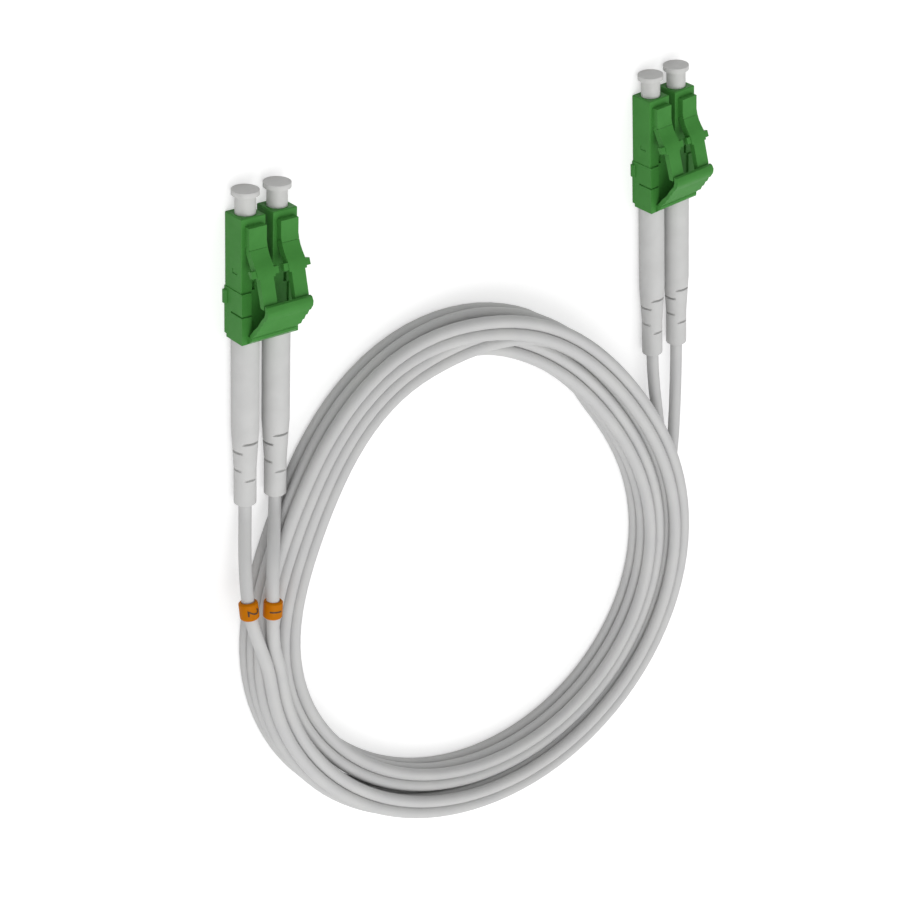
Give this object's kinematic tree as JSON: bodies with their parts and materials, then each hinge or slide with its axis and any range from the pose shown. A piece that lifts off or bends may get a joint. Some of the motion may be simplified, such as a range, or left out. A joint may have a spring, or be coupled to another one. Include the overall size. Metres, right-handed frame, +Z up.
{
  "type": "fibre patch cord",
  "caption": "Coiled duplex fibre patch cord with a latching two-way plug, dust caps, boots and clip at both ends.",
  "frame": {"origin": "on the floor, at the middle of the box around the two plug ends with their boots", "axes": "+X from the marked end to the other end, +Y towards the ferrule tips, +Z up, away from the floor"},
  "size_m": [0.1083, 0.1424, 0.011],
  "materials": {
    "green_plastic": "satin",
    "cap_plastic": "matte",
    "ferrule_ceramic": "polished",
    "bright_steel": "turned",
    "pale_plastic": "matte",
    "boot_rubber": "matte",
    "jacket": "matte",
    "ring_orange": "satin"
  },
  "bodies": {
    "cord_base": {"clip_a": "green_plastic", "clip_b": "green_plastic", "housing_a2": "green_plastic", "spring_a2": "bright_steel", "rear_body_a2": "pale_plastic", "crimp_sleeve_a2": "bright_steel", "boot_a2": "boot_rubber", "tail_a2": "jacket", "housing_a1": "green_plastic", "spring_a1": "bright_steel", "rear_body_a1": "pale_plastic", "crimp_sleeve_a1": "bright_steel", "boot_a1": "boot_rubber", "tail_a1": "jacket", "housing_b1": "green_plastic", "spring_b1": "bright_steel", "rear_body_b1": "pale_plastic", "crimp_sleeve_b1": "bright_steel", "boot_b1": "boot_rubber", "tail_b1": "jacket", "housing_b2": "green_plastic", "spring_b2": "bright_steel", "rear_body_b2": "pale_plastic", "crimp_sleeve_b2": "bright_steel", "boot_b2": "boot_rubber", "tail_b2": "jacket", "coil": "jacket", "ring_2": "ring_orange", "ring_1": "ring_orange"},
    "trigger_a": {"trigger_a": "green_plastic"},
    "trigger_b": {"trigger_b": "green_plastic"},
    "dust_cap_a2": {"dust_cap_a2": "cap_plastic"},
    "latch_a2": {"latch_lever_a2": "green_plastic"},
    "ferrule_a2": {"ferrule_a2": "ferrule_ceramic", "ferrule_holder_a2": "bright_steel"},
    "dust_cap_a1": {"dust_cap_a1": "cap_plastic"},
    "latch_a1": {"latch_lever_a1": "green_plastic"},
    "ferrule_a1": {"ferrule_a1": "ferrule_ceramic", "ferrule_holder_a1": "bright_steel"},
    "dust_cap_b1": {"dust_cap_b1": "cap_plastic"},
    "latch_b1": {"latch_lever_b1": "green_plastic"},
    "ferrule_b1": {"ferrule_b1": "ferrule_ceramic", "ferrule_holder_b1": "bright_steel"},
    "dust_cap_b2": {"dust_cap_b2": "cap_plastic"},
    "latch_b2": {"latch_lever_b2": "green_plastic"},
    "ferrule_b2": {"ferrule_b2": "ferrule_ceramic", "ferrule_holder_b2": "bright_steel"}
  },
  "joints": [
    {"name": "trigger_press_a", "type": "hinge", "parent": "cord_base", "child": "trigger_a", "pos_m": [-0.04591, 0.00436, 0.00612], "axis": [-0.9991, 0.0419, 0], "range_deg": [0, 12], "stiffness_Nm_per_rad": 0.0008},
    {"name": "trigger_press_b", "type": "hinge", "parent": "cord_base", "child": "trigger_b", "pos_m": [0.04501, 0.00418, 0.00612], "axis": [-0.9976, -0.0698, 0], "range_deg": [0, 12], "stiffness_Nm_per_rad": 0.0008},
    {"name": "cap_pull_a2", "type": "slide", "parent": "cord_base", "child": "dust_cap_a2", "axis": [0.0419, 0.9991, 0], "range_m": [0, 0.008]},
    {"name": "latch_press_a2", "type": "hinge", "parent": "cord_base", "child": "latch_a2", "pos_m": [-0.0484, 0.01968, 0.0054], "axis": [0.9991, -0.0419, 0], "range_deg": [0, 8], "stiffness_Nm_per_rad": 0.0003},
    {"name": "ferrule_float_a2", "type": "slide", "parent": "cord_base", "child": "ferrule_a2", "axis": [-0.0419, -0.9991, 0], "range_m": [0, 0.001], "stiffness_N_per_m": 600, "deforming": ["spring_a2"]},
    {"name": "cap_pull_a1", "type": "slide", "parent": "cord_base", "child": "dust_cap_a1", "axis": [0.0419, 0.9991, 0], "range_m": [0, 0.008]},
    {"name": "latch_press_a1", "type": "hinge", "parent": "cord_base", "child": "latch_a1", "pos_m": [-0.04215, 0.01942, 0.0054], "axis": [0.9991, -0.0419, 0], "range_deg": [0, 8], "stiffness_Nm_per_rad": 0.0003},
    {"name": "ferrule_float_a1", "type": "slide", "parent": "cord_base", "child": "ferrule_a1", "axis": [-0.0419, -0.9991, 0], "range_m": [0, 0.001], "stiffness_N_per_m": 600, "deforming": ["spring_a1"]},
    {"name": "cap_pull_b1", "type": "slide", "parent": "cord_base", "child": "dust_cap_b1", "axis": [-0.0698, 0.9976, 0], "range_m": [0, 0.008]},
    {"name": "latch_press_b1", "type": "hinge", "parent": "cord_base", "child": "latch_b1", "pos_m": [0.04083, 0.01913, 0.0054], "axis": [0.9976, 0.0698, 0], "range_deg": [0, 8], "stiffness_Nm_per_rad": 0.0003},
    {"name": "ferrule_float_b1", "type": "slide", "parent": "cord_base", "child": "ferrule_b1", "axis": [0.0698, -0.9976, 0], "range_m": [0, 0.001], "stiffness_N_per_m": 600, "deforming": ["spring_b1"]},
    {"name": "cap_pull_b2", "type": "slide", "parent": "cord_base", "child": "dust_cap_b2", "axis": [-0.0698, 0.9976, 0], "range_m": [0, 0.008]},
    {"name": "latch_press_b2", "type": "hinge", "parent": "cord_base", "child": "latch_b2", "pos_m": [0.04707, 0.01956, 0.0054], "axis": [0.9976, 0.0698, 0], "range_deg": [0, 8], "stiffness_Nm_per_rad": 0.0003},
    {"name": "ferrule_float_b2", "type": "slide", "parent": "cord_base", "child": "ferrule_b2", "axis": [0.0698, -0.9976, 0], "range_m": [0, 0.001], "stiffness_N_per_m": 600, "deforming": ["spring_b2"]}
  ],
  "couplings": [
    {"joint": "latch_press_a2", "follows": "trigger_press_a", "ratio": 0.66667},
    {"joint": "latch_press_a1", "follows": "trigger_press_a", "ratio": 0.66667},
    {"joint": "latch_press_b1", "follows": "trigger_press_b", "ratio": 0.66667},
    {"joint": "latch_press_b2", "follows": "trigger_press_b", "ratio": 0.66667}
  ]
}
